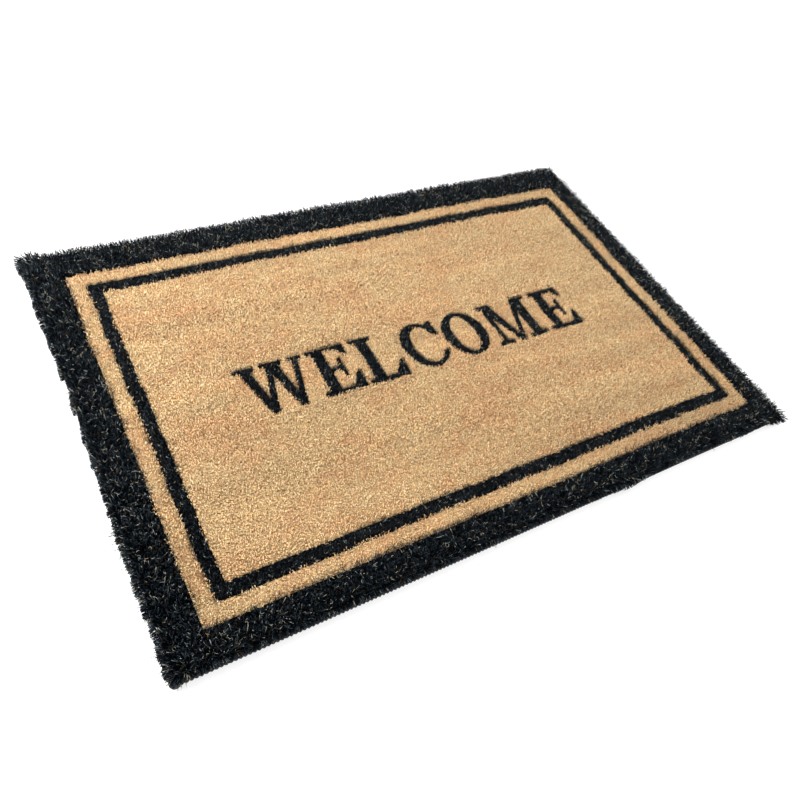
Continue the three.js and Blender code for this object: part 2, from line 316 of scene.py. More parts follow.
CREAM = (0.96, 0.77, 0.46)
STRAW = (0.94, 0.69, 0.36)
GOLD = (0.89, 0.59, 0.26)
TAN = (0.69, 0.36, 0.15)
PINK = (0.93, 0.53, 0.32)
BROWN = (0.24, 0.11, 0.04)
BLUE_BLACK = (0.0008, 0.0015, 0.0026)
SOFT_BLACK = (0.0045, 0.0075, 0.0110)
SLATE = (0.045, 0.061, 0.074)
RUST_BLACK = (0.055, 0.040, 0.022)
ASH = (0.28, 0.30, 0.29)
FADED = (0.45, 0.40, 0.26)
GREY = (0.42, 0.44, 0.40)
WARMTH = (0.98, 0.84, 0.79)  # what the warmer patches of the natural pile are multiplied by


def natural_coir():
    """Undyed fibres. tone picks each fibre's colour, and along runs from 0 at its root to 1 at its tip."""
    f = Finish("natural_coir", 0.75)
    fibre = f.ramp(
        f.attribute("tone"),
        [
            (0.0, BROWN),
            (0.10, TAN),
            (0.27, GOLD),
            (0.46, STRAW),
            (0.74, CREAM),
            (0.88, STRAW),
            (1.0, PINK),
        ],
    )
    patches = f.spread(f.noise(f.place((0.6, 1, 1)), 24, 4, 0.65), 0.44, 0.62)
    warm = f.mix(1.0, fibre, WARMTH, "MULTIPLY")
    warmer = f.mix(patches * 0.7, fibre, warm)
    # Painted shade: faint darker and lighter bands along the mat's length, standing in for the shade of an
    # unevenly sheared pile.
    shear_shade = f.spread(f.noise(f.place((2.2, 26, 1)), 1, 3, 0.6), 0.35, 0.65, 0.88, 1.04)
    grain = f.spread(f.noise(f.place(), 400, 2, 0.6), 0.34, 0.53, 0.68, 1.0)
    bunches = f.spread(f.noise(f.place(), 130, 3, 0.7), 0.36, 0.60, 0.86, 1.02)
    # Painted shade: each fibre is darker towards its root, down among the other fibres, and lighter at its
    # cut tip.
    rise = f.attribute("along") * 0.50 + 0.50
    return f.colour(f.dim(warmer, rise * shear_shade * grain * bunches))


def black_coir(name, roughness, gloss):
    """Black-dyed fibres: mostly blue-black, some slate and ash grey, which are partly faded fibres and partly
    painted highlights, and a few that took no dye.
    """
    f = Finish(name, roughness, Specular_IOR_Level=gloss)
    # The slate and ash stops are partly faded fibres and partly painted highlights, grey and bluish, on
    # single fibres.
    fibre = f.ramp(
        f.attribute("tone"),
        [
            (0.0, BLUE_BLACK),
            (0.50, SOFT_BLACK),
            (0.80, SLATE),
            (0.84, SOFT_BLACK),
            (0.93, RUST_BLACK),
            (0.955, SLATE),
            (0.98, ASH),
            (1.0, FADED),
        ],
    )
    # Painted shade: each fibre is much darker towards its root, down among the other fibres.
    rise = f.attribute("along") ** 1.6 * 0.85 + 0.15
    return f.colour(f.dim(fibre, rise))


def loose_coir():
    """Long fibres that the dye missed, lying on the black."""
    f = Finish("loose_coir", 0.6)
    stops = [(0.0, SLATE), (0.3, ASH), (0.6, GREY), (0.9, FADED), (1.0, TAN)]
    return f.colour(f.ramp(f.attribute("tone"), stops))


def coir_yarn():
    f = Finish("coir_yarn", 0.85)
    twist = f.noise(f.place(), 420, 4, 0.7)
    patches = f.noise(f.place(), 40, 2)
    colour = f.ramp(twist, [(0.30, BROWN), (0.48, TAN), (0.62, GOLD), (0.75, STRAW)])
    f.bump(twist, 0.6, 0.6 * MM)
    return f.colour(f.dim(colour, f.spread(patches, 0.3, 0.7, 0.5, 0.85)))


def black_yarn(name, roughness):
    f = Finish(name, roughness)
    strands = f.noise(f.place(), 500, 4, 0.7)
    f.bump(strands, 0.7, 0.5 * MM)
    return f.colour(f.ramp(strands, [(0.35, BLUE_BLACK), (0.6, SOFT_BLACK), (0.75, SLATE)]))


NATURAL = natural_coir()
INLAY_BLACK = black_coir("black_coir_inlay", 0.5, 0.04)
BORDER_BLACK = black_coir("black_coir_border", 0.45, 0.01)
LOOSE = loose_coir()
YARN = coir_yarn()
PLAIT = black_yarn("black_coir_plait", 0.6)
TWINE = black_yarn("black_twine", 0.5)


# ---- Working with operators ----


def deselect():
    if bpy.context.object and bpy.context.object.mode != "OBJECT":
        bpy.ops.object.mode_set(mode="OBJECT")
    bpy.ops.object.select_all(action="DESELECT")


def activate(piece):
    deselect()
    piece.select_set(True)
    bpy.context.view_layer.objects.active = piece


def edit(piece):
    """Into edit mode, with all of the piece selected."""
    activate(piece)
    bpy.ops.object.mode_set(mode="EDIT")
    bpy.ops.mesh.select_all(action="SELECT")


def select_vertices(piece, wanted):
    """In edit mode, selects the vertices whose place wanted() accepts, and what lies between them."""
    bpy.ops.mesh.select_mode(type="VERT")
    bpy.ops.mesh.select_all(action="DESELECT")
    bpy.ops.object.mode_set(mode="OBJECT")
    for vertex in piece.data.vertices:
        vertex.select = bool(wanted(vertex.co))
    bpy.ops.object.mode_set(mode="EDIT")


def settle(piece):
    """Leaves edit mode with every face outwards."""
    bpy.ops.mesh.select_all(action="SELECT")
    bpy.ops.mesh.normals_make_consistent(inside=False)
    bpy.ops.object.mode_set(mode="OBJECT")
    return piece


def remove(piece):
    mesh = piece.data
    bpy.data.objects.remove(piece)
    bpy.data.meshes.remove(mesh)


def merged_copy(node, name):
    """A copy of a CAD node, left in edit mode with its loose triangles merged."""
    piece = bpy.data.objects.new(name, nodes[node].data.copy())
    bpy.context.scene.collection.objects.link(piece)
    edit(piece)
    bpy.ops.mesh.remove_doubles(threshold=MERGE)
    return piece


def repeat(piece, step, count, join=False):
    """Repeats a piece by a step, and joins each end to the next if asked."""
    activate(piece)
    array = piece.modifiers.new("repeat", "ARRAY")
    array.use_relative_offset = False
    array.use_constant_offset = True
    array.constant_offset_displace = step
    array.count = count
    array.use_merge_vertices = join
    array.merge_threshold = MERGE
    bpy.ops.object.modifier_apply(modifier=array.name)


def join(pieces, name):
    activate(pieces[0])
    for piece in pieces:
        piece.select_set(True)
    bpy.ops.object.join()
    pieces[0].name = name
    pieces[0].data.name = name
    return pieces[0]


# ---- Fibres ----

FIBRE_SIDES = 3
SLANT = (0.45, 0.6)  # how far a point moves on a slanted map for its height
SAME_RING = 2e-3  # of a fibre's length
MAP_INSET = 0.05
BED_TONE = 0.3
LOWEST = 0.2 * MM  # no fibre reaches below this


def faces_of(mesh):
    """The faces' corners, one face after another, and how many corners each has."""
    faces = [list(p.vertices) for p in mesh.polygons]
    return np.concatenate(faces), np.array([len(face) for face in faces])


def slanted_map(places):
    """A map of a piece as seen at a slant, so that its upright faces have room on it too."""
    flat = places[:, :2] + places[:, 2:] * SLANT
    return (flat - flat.min(0)) / np.ptp(flat, axis=0)


class Strand:
    """A modelled fibre as arrays: for each vertex, the middle of its ring, and its offset from there, so that
    copies can be as long and as thick as they need."""

    def __init__(self, fibre, ring_of, girth=1.0):
        mesh = fibre.data
        places = np.array([v.co for v in mesh.vertices])
        self.along = np.array([ring_of(v.co) for v in mesh.vertices])
        self.middles = np.zeros_like(places)
        self.uv = np.column_stack([np.zeros(len(places)), self.along * (1 - 2 * MAP_INSET) + MAP_INSET])
        for along in np.unique(self.along.round(3)):
            ring = np.flatnonzero(np.abs(self.along - along) < SAME_RING)
            self.middles[ring] = places[ring].mean(0)
            self.uv[ring, 0] = (np.arange(len(ring)) + 0.5) / len(ring)
            self.uv[ring[1:2], 1] += MAP_INSET  # so that a cut end has room on the map too
        self.offsets = (places - self.middles) / girth
        self.corners, self.sizes = faces_of(mesh)
        remove(fibre)


def cut_fibre():
    """A stiff fibre that is cut across: an edge at its root, and an edge across that one at its tip."""
    bpy.ops.mesh.primitive_cone_add(vertices=FIBRE_SIDES, radius1=1, radius2=0, depth=1, location=(0, 0, 0.5))
    fibre = bpy.context.object
    bpy.ops.object.transform_apply(location=True)
    edit(fibre)
    select_vertices(fibre, lambda co: co.z > 0.5)
    bpy.ops.transform.translate(value=(0, -0.87, 0))
    select_vertices(fibre, lambda co: co.z < 0.5 and co.y > 0.5)
    bpy.ops.transform.translate(value=(0, -0.13, 1))
    select_vertices(fibre, lambda co: co.z < 0.5)
    bpy.ops.transform.translate(value=(0, 0.5, 0))
    return Strand(settle(fibre), lambda co: co.z)


def bent_fibre(rings):
    """A fibre from a point at its root up through its rings: height, width and bend. A ring of no width is a
    point, and any other last ring is cut across."""
    height, width, bend = rings[0]
    bpy.ops.mesh.primitive_circle_add(
        vertices=FIBRE_SIDES, radius=width, fill_type="NGON", location=(bend, 0, height)
    )
    fibre = bpy.context.object
    bpy.ops.object.transform_apply(location=True)
    edit(fibre)
    bpy.ops.mesh.extrude_region_move(TRANSFORM_OT_translate={"value": (-bend, 0, -height)})
    bpy.ops.mesh.merge(type="CENTER")
    for (low, was, bent), (high, width, bend) in zip(rings, rings[1:]):
        select_vertices(fibre, lambda co: abs(co.z - low) < 1e-4)
        bpy.ops.mesh.extrude_region_move(TRANSFORM_OT_translate={"value": (bend - bent, 0, high - low)})
        if width:
            bpy.ops.transform.resize(
                value=(width / was, width / was, 1), center_override=(bend, 0, high)
            )
        else:
            bpy.ops.mesh.merge(type="CENTER")
    return Strand(settle(fibre), lambda co: co.z)


def curled_fibre(turn, steps, girth=0.1):
    """A fibre that lies in an arc of radius 1 round the origin."""
    bpy.ops.mesh.primitive_circle_add(
        vertices=FIBRE_SIDES, radius=girth, fill_type="NGON", location=(1, 0, 0), rotation=(math.pi / 2, 0, 0)
    )
    fibre = bpy.context.object
    bpy.ops.object.transform_apply(location=True, rotation=True)
    edit(fibre)
    bpy.ops.mesh.spin(steps=steps, angle=turn, center=(0, 0, 0), axis=(0, 0, 1))
    settle(fibre)
    ends = [math.atan2(v.co.y, v.co.x) % (2 * math.pi) for v in fibre.data.vertices]
    turned_back = min(a for a in ends if a > 0.01) > 2 * math.pi - turn - 0.01
    way = -1 if turned_back else 1

    def share(co):
        return round((way * math.atan2(co.y, co.x) + 0.01) % (2 * math.pi) / turn, 3)

    return Strand(fibre, share, girth)


CUT = cut_fibre()
SHAG = bent_fibre([(0.5, 1.0, 0.05), (1.0, 0.7, 0.24)])
WISP = bent_fibre([(0.30, 0.9, 0.03), (0.68, 0.85, 0.16), (1.0, 0.0, 0.42)])
CURL = curled_fibre(math.radians(215), 7)
BOW = curled_fibre(math.radians(80), 3)


def sow(strand, roots, aims, bends, lengths, radii, tones):
    """Copies of a strand, each from its root towards its aim, bending towards its bend."""
    aims = aims / np.linalg.norm(aims, axis=1)[:, None]
    first = bends - (bends * aims).sum(1)[:, None] * aims
    first /= np.linalg.norm(first, axis=1)[:, None]
    turns = np.stack([first, np.cross(aims, first), aims], 2)
    shapes = strand.middles * lengths[:, None, None] + strand.offsets * radii[:, None, None]
    count = len(roots)
    size = len(strand.along)
    return SimpleNamespace(
        places=(roots[:, None] + shapes @ turns.transpose(0, 2, 1)).reshape(-1, 3),
        corners=(strand.corners + size * np.arange(count)[:, None]).ravel(),
        sizes=np.tile(strand.sizes, count),
        uv=np.tile(strand.uv, (count, 1)),
        cell=np.repeat(np.arange(count), size),
        cells=count,
        tone=np.repeat(tones, size),
        along=np.tile(strand.along, count),
    )


def bed_part(bed):
    """A modelled bed as arrays, so that it becomes part of its pile's mesh."""
    mesh = bed.data
    places = np.array([v.co for v in mesh.vertices])
    corners, sizes = faces_of(mesh)
    part = SimpleNamespace(
        places=places,
        corners=corners,
        sizes=sizes,
        uv=slanted_map(places),
        cell=np.zeros(len(places), int),
        cells=0,
        tone=np.full(len(places), BED_TONE),
        # Painted shade: with along at 0, the bed takes the darkest root shade of its finish.
        along=np.zeros(len(places)),
    )
    remove(bed)
    return part


BED_SHARE = 0.06  # of the map's height
CELL_MARGIN = 0.1


def cell_map(parts):
    """Each vertex's place on the map: the bed along the bottom, and the fibres in cells above it."""
    count = sum(part.cells for part in parts)
    across = max(1, math.ceil(math.sqrt(count)))
    up = max(1, math.ceil(count / across))
    maps, done = [], 0
    for part in parts:
        if not part.cells:
            maps.append(part.uv * [1, BED_SHARE])
            continue
        cell = part.cell + done
        corner = np.stack([cell % across, cell // across], 1)
        uv = (corner + CELL_MARGIN + (1 - 2 * CELL_MARGIN) * part.uv) / [across, up]
        maps.append(uv * [1, 1 - BED_SHARE] + [0, BED_SHARE])
        done += part.cells
    return np.concatenate(maps)


def assemble(name, parts, finish):
    """One piece from its parts."""
    mesh = bpy.data.meshes.new(name)
    first = np.cumsum([0] + [len(part.places) for part in parts])
    corners = np.concatenate([part.corners + start for part, start in zip(parts, first)])
    sizes = np.concatenate([part.sizes for part in parts])
    places = np.concatenate([part.places for part in parts])
    places[:, 2] = np.maximum(places[:, 2], LOWEST)
    mesh.vertices.add(first[-1])
    mesh.vertices.foreach_set("co", places.astype(np.float32).ravel())
    mesh.loops.add(len(corners))
    mesh.loops.foreach_set("vertex_index", corners.astype(np.int32))
    mesh.polygons.add(len(sizes))
    starts = np.concatenate([[0], np.cumsum(sizes)[:-1]])
    mesh.polygons.foreach_set("loop_start", starts.astype(np.int32))
    mesh.polygons.foreach_set("use_smooth", np.ones(len(sizes), bool))
    for label in ("tone", "along"):
        values = np.concatenate([getattr(part, label) for part in parts]).astype(np.float32)
        mesh.attributes.new(label, "FLOAT", "POINT").data.foreach_set("value", values)
    mapped = cell_map(parts)[corners].astype(np.float32)
    mesh.uv_layers.new(name="OFBake").uv.foreach_set("vector", mapped.ravel())
    mesh.update(calc_edges=True)
    mesh.materials.append(finish)
    piece = bpy.data.objects.new(name, mesh)
    bpy.context.scene.collection.objects.link(piece)
    return piece


# ---- Where the fibres stand ----


def scatter(plan, spacing, rng):
    """Places in rows along the mat's length, each a little off its own spot, and each place's home: where it
    would be if the rows were straight. A zone takes every place whose home is in its plan."""
    x, y = np.meshgrid(
        np.arange(plan.left - WANDER, plan.right + WANDER, spacing),
        np.arange(plan.front - WANDER, plan.back + WANDER, spacing),
    )
    places = np.stack([x.ravel(), y.ravel()], 1)
    places += rng.uniform(-JITTER, JITTER, places.shape) * spacing
    homes = hand_woven(places)
    mine = within(plan, homes)
    return places[mine], homes[mine]


def tuft_values(places, size, seed):
    """Two numbers from -1 to 1 that all the fibres of one tuft share."""
    table = seeded("tufts", seed).uniform(-1, 1, (4096, 2))
    cells = np.floor(places / size).astype(np.int64)
    return table[(cells[:, 0] * 7919 + cells[:, 1] * 104729) % len(table)]


def tuft_centres(places, size):
    return (np.floor(places / size) + 0.5) * size


# How far the tufts step off their places, in millimetres, over tufts of what size.
STEPS = ((1.7, 3.9 * MM, "steps"), (1.0, 1.9 * MM, "small steps"))


def hand_woven(places):
    """Where each place would be if the weave were straight. The rows wander in long and short waves, and the
    tufts step off their places, less so round the word."""
    x, y = places.T
    wander_x = 0.8 * np.sin(y / (13 * MM) + 3 * np.sin(x / 0.21)) + 0.7 * np.sin(y / (41 * MM) + x / 0.4)
    wander_y = 0.7 * np.sin(x / (17 * MM) + 2 * np.sin(y / 0.17)) + 0.9 * np.sin(x / (57 * MM) + 1)
    care = np.where(within(word_plan, places), WORD_STEPS, 1.0)[:, None]
    steps = sum(step * tuft_values(places, size, label) for step, size, label in STEPS)
    homes = places + (np.stack([wander_x, wander_y], 1) + steps * care) * MM
    corner = np.array([mat_plan.right, mat_plan.back]) - 0.01 * MM
    return np.clip(homes, -corner, corner)


def top_tree(name):
    """The flat top of a node, for finding what stands on it."""
    mesh = nodes[name].data
    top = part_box(name)[1].z
    faces = [list(p.vertices) for p in mesh.polygons if p.normal.z > 0.9 and p.center.z > top - NEAR]
    return BVHTree.FromPolygons([v.co for v in mesh.vertices], faces)


def on_top(tree, places):
    above, down = 0.1, Vector((0, 0, -1))
    return np.array([tree.ray_cast(Vector((x, y, above)), down)[0] is not None for x, y in places], bool)


word_plan = SimpleNamespace(
    left=min(rectangle(name).left for name in LETTERS) - MM,
    right=max(rectangle(name).right for name in LETTERS) + MM,
    front=min(rectangle(name).front for name in LETTERS) - MM,
    back=max(rectangle(name).back for name in LETTERS) + MM,
)


def within(plan, places):
    x, y = places.T
    return (x > plan.left) & (x < plan.right) & (y > plan.front) & (y < plan.back)


FACING = np.array([[0, -1], [0, 1], [-1, 0], [1, 0]])  # of the mat's sides, in the order of SIDES


def outward(places):
    """How far each place is from the mat's outer edge, how near it is as a share, and which way it splays."""
    x, y = places.T
    gaps = np.stack([y - mat_plan.front, mat_plan.back - y, x - mat_plan.left, mat_plan.right - x], 1)
    pulls = np.clip(1 - gaps / SPLAY_WIDTH, 0, 1) ** SPLAY_CURVE
    pulls += CORNER_PULL * cornered(places)[:, None] * (gaps < CORNER_REACH)
    splay = np.array([EDGES[side].splay for side in SIDES])
    return gaps.min(1), pulls.max(1), (pulls * splay) @ FACING


def cornered(places):
    """How near each place is to a corner of the mat: 1 at the corner, and 0 from CORNER_REACH."""
    half = np.array([mat_plan.right - mat_plan.left, mat_plan.back - mat_plan.front]) / 2
    middle = np.array([mat_plan.right + mat_plan.left, mat_plan.back + mat_plan.front]) / 2
    near = np.clip(1 - (half - np.abs(places - middle)) / CORNER_REACH, 0, 1)
    return near[:, 0] * near[:, 1]


def corner_stand(places):
    """How much further out the pile stands towards the corners."""
    stands = np.zeros(len(places))
    for (across, along), stand in CORNER_STAND.items():
        here = (places[:, 0] * across > 0) & (places[:, 1] * along > 0)
        stands[here] = stand * cornered(places[here])
    return stands


def trimmed(roots, aims, lengths, rng):
    """Lengths that end where the shears went along the mat's edges, a little in or out at each tuft."""
    unit = aims / np.linalg.norm(aims, axis=1)[:, None]
    corner = corner_stand(roots[:, :2])
    tuft = tuft_values(roots[:, :2], EDGE_TUFT, "trim")
    for way, side in zip(FACING, SIDES):
        edge = EDGES[side]
        border = abs(way @ [mat_plan.right, mat_plan.back])
        plane = border + edge.reach + corner + edge.step * tuft[:, 0]
        plane += rng.normal(0, edge.ragged, len(roots))
        for bulging, place, width, stand in BULGES:
            if bulging == side:
                along = roots[:, :2] @ np.abs(way[::-1])
                change = 1 + BULGE_CHANGE * tuft[:, 1]
                plane += stand * change * np.exp(-(((along - place) / width) ** 2))
        start = roots[:, :2] @ way
        run = unit[:, :2] @ way * lengths
        past = start + run > plane
        lengths = np.where(past, lengths * (plane - start) / np.where(past, run, 1), lengths)
    return lengths


def grow(name, places, pile):
    """The fibres of one zone, sheared to one height."""
    rng = seeded(name)
    count = len(places)
    lean = rng.normal(0, pile.lean, (count, 2)) + pile.tuft_lean * tuft_values(places, pile.tuft, name)
    lean *= np.where(within(word_plan, places), WORD_LEAN, 1.0)[:, None]
    tips = FIELD_TOP + rng.normal(0, pile.uneven, count)
    bottom = np.full(count, FIELD_TOP - pile.depth)
    return plant(rng, places, lean, bottom, tips, pile, CUT)


def tones(places, rng):
    """Each fibre's tone from 0 to 1, its own or its bunch's."""
    tone = rng.uniform(0, 1, len(places))
    pick = rng.random(len(places))
    for size, share in BUNCHES:
        shared = tuft_values(places, size, f"tone {size}")[:, 0] / 2 + 0.5
        tone = np.where((pick >= 0) & (pick < share), shared, tone)
        pick -= share
    return tone


def grow_shaggy(name, places, strand, stretch):
    """The fibres of the border, in tufts that splay at the outer edges."""
    rng = seeded(name)
    count = len(places)
    pile = SHAGGY
    lean = rng.normal(0, pile.lean, (count, 2)) + pile.tuft_lean * tuft_values(places, pile.tuft, "shag")
    lean += (tuft_centres(places, pile.tuft) - places) / pile.tuft * pile.gather
    _, near, splay = outward(places)
    tall = tuft_values(places, pile.tuft, "tall")[:, 0]
    lean += splay * (1 + pile.splay_spread * tall)[:, None]
    near = np.minimum(near, 1)
    bottom = BORDER_TOP - pile.depth - pile.root_drop * near
    tips = BORDER_TOP + rng.normal(0, pile.uneven, count) + pile.tall * tall - pile.tip_drop * near**2
    tips = bottom + (tips - bottom) * stretch
    return plant(rng, places, lean, bottom, tips, pile, strand, trim_edges=True)


def plant(rng, places, lean, bottom, tips, pile, strand, trim_edges=False):
    """Fibres with their leans, each from its place at the bottom up to the height of its tip."""
    count = len(places)
    roots = np.column_stack([places, bottom])
    aims = np.column_stack([lean, np.ones(count)])
    lengths = (tips - bottom) * np.sqrt((np.clip(lean, -LEAN_LIMIT, LEAN_LIMIT) ** 2).sum(1) + 1)
    if trim_edges:
        lengths = trimmed(roots, aims, lengths, rng)
    radii = pile.radius * rng.uniform(*THICKNESSES, count)
    spin = rng.uniform(0, 2 * np.pi, count)
    bends = np.column_stack([np.cos(spin), np.sin(spin), np.full(count, 0.1)])
    return sow(strand, roots, aims, bends, lengths, radii, tones(places, rng))


# ---- Beds ----


def lowered_bed(name, depth, cuts=()):
    """A copy of a node with its top sunk to where the fibres part. cuts are planes that bound it, each a
    place and a normal."""
    bed = merged_copy(name, f"{name}_bed")
    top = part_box(name)[1].z
    for place, normal in cuts:
        bpy.ops.mesh.select_all(action="SELECT")
        bpy.ops.mesh.bisect(plane_co=place, plane_no=normal, use_fill=True, clear_outer=True)
    select_vertices(bed, lambda co: co.z > top - NEAR)
    bpy.ops.transform.translate(value=(0, 0, -depth))
    bpy.ops.object.mode_set(mode="OBJECT")
    return bed_part(bed)


def border_bed(side):
    """A bar under the border's shag, drawn in from the mat's outer edge, with its outer top edge rounded."""
    plan = rectangle(f"border_pile_{side}")
    left = max(plan.left, mat_plan.left + EDGE_INSET)
    right = min(plan.right, mat_plan.right - EDGE_INSET)
    front = max(plan.front, mat_plan.front + EDGE_INSET)
    back = min(plan.back, mat_plan.back - EDGE_INSET)
    top = BORDER_TOP - SHAGGY.depth
    bottom = TWINE_TOP + BED_LIFT
    middle = ((left + right) / 2, (front + back) / 2, (top + bottom) / 2)
    bpy.ops.mesh.primitive_cube_add(size=1, location=middle)
    bed = bpy.context.object
    bed.scale = (right - left, back - front, top - bottom)
    bpy.ops.object.transform_apply(location=True, scale=True)
    outer = {
        "front": lambda co: co.y < front + MM,
        "back": lambda co: co.y > back - MM,
        "left": lambda co: co.x < left + MM,
        "right": lambda co: co.x > right - MM,
    }[side]
    edit(bed)
    select_vertices(bed, lambda co: outer(co) and co.z > top - NEAR)
    bpy.ops.mesh.bevel(offset=BED_ROUND, segments=3, affect="EDGES")
    bpy.ops.object.mode_set(mode="OBJECT")
    return bed_part(bed)


# ---- The pile, zone by zone ----


def strip_plan(index):
    depth = (field_plan.back - field_plan.front) / FIELD_STRIPS
    front = field_plan.front + index * depth
    return SimpleNamespace(left=field_plan.left, right=field_plan.right, front=front, back=front + depth)


def field_strip(index):
    """One woven strip of the field, with the letters left out of it."""
    plan = strip_plan(index)
    name = f"field_pile_strip_{index + 1}"
    places, homes = scatter(plan, SHEARED.spacing, seeded("field", index))
    near_word = within(word_plan, homes)
    kept = ~near_word
    kept[near_word] = on_top(FIELD_TREE, homes[near_word])
    cuts = []
    if index > 0:
        cuts.append(((0, plan.front, 0), (0, -1, 0)))
    if index < FIELD_STRIPS - 1:
        cuts.append(((0, plan.back, 0), (0, 1, 0)))
    bed = lowered_bed("field_pile", SHEARED.depth, cuts)
    return assemble(name, [bed, grow(name, places[kept], SHEARED)], NATURAL)


def inlay(node, pile, finish):
    """A zone that is sheared to the field's height, such as a letter or a bar of a stripe."""
    places, homes = scatter(rectangle(node), pile.spacing, seeded(node))
    places = places[on_top(top_tree(node), homes)]
    parts = [lowered_bed(node, pile.depth), grow(node, places, pile)]
    return assemble(f"{node}_tufts", parts, finish)


def border(side):
    """One run of the border: short fibres, and long curved ones among them."""
    node = f"border_pile_{side}"
    rng = seeded(node)
    places, _ = scatter(rectangle(node), SHAGGY.spacing, rng)
    gap, _, _ = outward(places)
    places = places[gap > EDGE_INSET]
    long = rng.random(len(places)) < LONG_SHARE
    parts = [
        border_bed(side),
        grow_shaggy(node, places[~long], CUT, 1.0),
        grow_shaggy(f"{node} long", places[long], SHAG, LONG_STRETCH),
    ]
    return assemble(f"{node}_tufts", parts, BORDER_BLACK)


def edge_line():
    """Places round the bed's side, about a fibre's spacing apart, with the way that each faces."""
    left, right = mat_plan.left + EDGE_INSET, mat_plan.right - EDGE_INSET
    front, back = mat_plan.front + EDGE_INSET, mat_plan.back - EDGE_INSET
    r = EDGE_CORNER
    corners = [
        (right - r, front + r, -90),
        (right - r, back - r, 0),
        (left + r, back - r, 90),
        (left + r, front + r, 180),
    ]
    places, facing = [], []
    for i, (x, y, start) in enumerate(corners):
        before = corners[i - 1]
        away = math.radians(start)
        normal = np.array([math.cos(away), math.sin(away)])
        begin = np.array(before[:2]) + r * normal
        end = np.array([x, y]) + r * normal
        count = int(np.linalg.norm(end - begin) / SHAGGY.spacing)
        for step in range(count):
            places.append(begin + (end - begin) * step / count)
            facing.append(normal)
        turn_count = int(r * math.pi / 2 / SHAGGY.spacing) + 4
        for step in range(turn_count):
            angle = away + math.pi / 2 * step / turn_count
            normal = np.array([math.cos(angle), math.sin(angle)])
            places.append(np.array([x, y]) + r * normal)
            facing.append(normal)
    return np.array(places), np.array(facing)


EDGE_PLACES, EDGE_FACING = edge_line()
EDGE_SIDE = np.select(
    [EDGE_FACING[:, 1] < -0.71, EDGE_FACING[:, 1] > 0.71, EDGE_FACING[:, 0] < 0], [0, 1, 2], default=3
)


def edge_shag(side):
    """Fibres that stand out of the border's side, drawn together in tufts."""
    edge = EDGES[side]
    rng = seeded("edge", side)
    mine = EDGE_SIDE == SIDES.index(side)
    bottom = TWINE_TOP + 0.8 * MM
    heights = np.arange(bottom, BORDER_TOP - 5 * MM, EDGE_ROW)
    count = mine.sum() * len(heights)
    normal = np.repeat(EDGE_FACING[mine], len(heights), 0)
    place = np.repeat(EDGE_PLACES[mine], len(heights), 0) + rng.normal(0, 0.7 * MM, (count, 2))
    z = np.tile(heights, mine.sum()) + rng.uniform(-1, 1, count) * MM
    share = (z - bottom) / (BORDER_TOP - bottom)
    tuft = tuft_values(place, EDGE_TUFT, f"edge {side}")
    tip = tuft_centres(place, EDGE_TUFT) + normal * edge.length
    gather = (tip - place) / edge.length
    rise = edge.rise * (0.4 + share) - 0.3 + rng.normal(0, 0.2, count) + 0.2 * tuft[:, 1]
    aims = np.column_stack([normal + 0.6 * gather + rng.normal(0, edge.spread, (count, 2)), rise])
    roots = np.column_stack([place - normal * EDGE_ROOT, z])
    lengths = edge.length * rng.uniform(0.75, 1.2, count) + corner_stand(place)
    lengths = trimmed(roots, aims, lengths, rng)
    bends = np.column_stack([rng.normal(0, 0.4, (count, 2)), np.full(count, -1.0)])
    radii = EDGE_RADIUS * (1 + CORNER_GIRTH * cornered(place)) * rng.uniform(0.7, 1.2, count)
    part = sow(SHAG, roots, aims, bends, lengths, radii, tones(place, rng))
    return assemble(f"border_edge_{side}", [part], BORDER_BLACK)


def unkempt(places):
    """1 along the front third of the left edge, which has the longest wisps, and 0 elsewhere."""
    x, y = places.T
    return np.where((x < mat_plan.left + 2 * EDGE_INSET) & (y < mat_plan.front / 3), 1.0, 0.0)


WISP_COUNTS = {"front": 8, "back": 16, "left": 60, "right": 28}
WISP_FIBRES = (2, 7)
WISP_REACH = (7, 13)  # in millimetres
WISP_RADIUS = 0.36 * MM
PALE_LEFT = 0.35  # of the wisps on the left edge are undyed
PALE_ELSEWHERE = 0.08


def edge_wisps():
    """Bunches of longer fibres that the shears missed, most of them on the left and right edges."""
    rng = seeded("wisps")
    roots, aims, lengths = [], [], []
    for index, side in enumerate(SIDES):
        spots = np.flatnonzero(EDGE_SIDE == index)
        weights = 0.25 + 3 * cornered(EDGE_PLACES[spots]) + 1.5 * unkempt(EDGE_PLACES[spots])
        for spot in rng.choice(spots, WISP_COUNTS[side], p=weights / weights.sum()):
            normal = EDGE_FACING[spot]
            sideways = rng.normal(0, 0.5) * np.array([-normal[1], normal[0]])
            z = rng.uniform(TWINE_TOP + 2 * MM, BORDER_TOP - 4 * MM)
            reach = rng.uniform(*WISP_REACH) * MM * (1 + 0.45 * unkempt(EDGE_PLACES[[spot]])[0])
            for _ in range(rng.integers(*WISP_FIBRES)):
                aim = normal + sideways + rng.normal(0, 0.22, 2)
                root = EDGE_PLACES[spot] + rng.normal(0, 1 * MM, 2)
                roots.append([*root, z + rng.normal(0, 0.6) * MM])
                aims.append([*aim, rng.normal(0.1, 0.22)])
                lengths.append(reach * rng.uniform(0.6, 1.1))
    count = len(roots)
    bends = np.column_stack([rng.normal(0, 0.6, (count, 2)), np.full(count, -1.0)])
    radii = WISP_RADIUS * rng.uniform(0.7, 1.2, count)
    roots = np.array(roots)
    pale = np.where(roots[:, 0] < mat_plan.left + 20 * MM, PALE_LEFT, PALE_ELSEWHERE)
    tone = np.where(rng.random(count) < pale, rng.uniform(0.97, 1.0, count), rng.uniform(0, 0.9, count))
    part = sow(WISP, roots, np.array(aims), bends, np.array(lengths), radii, tone)
    return assemble("border_wisps", [part], BORDER_BLACK)


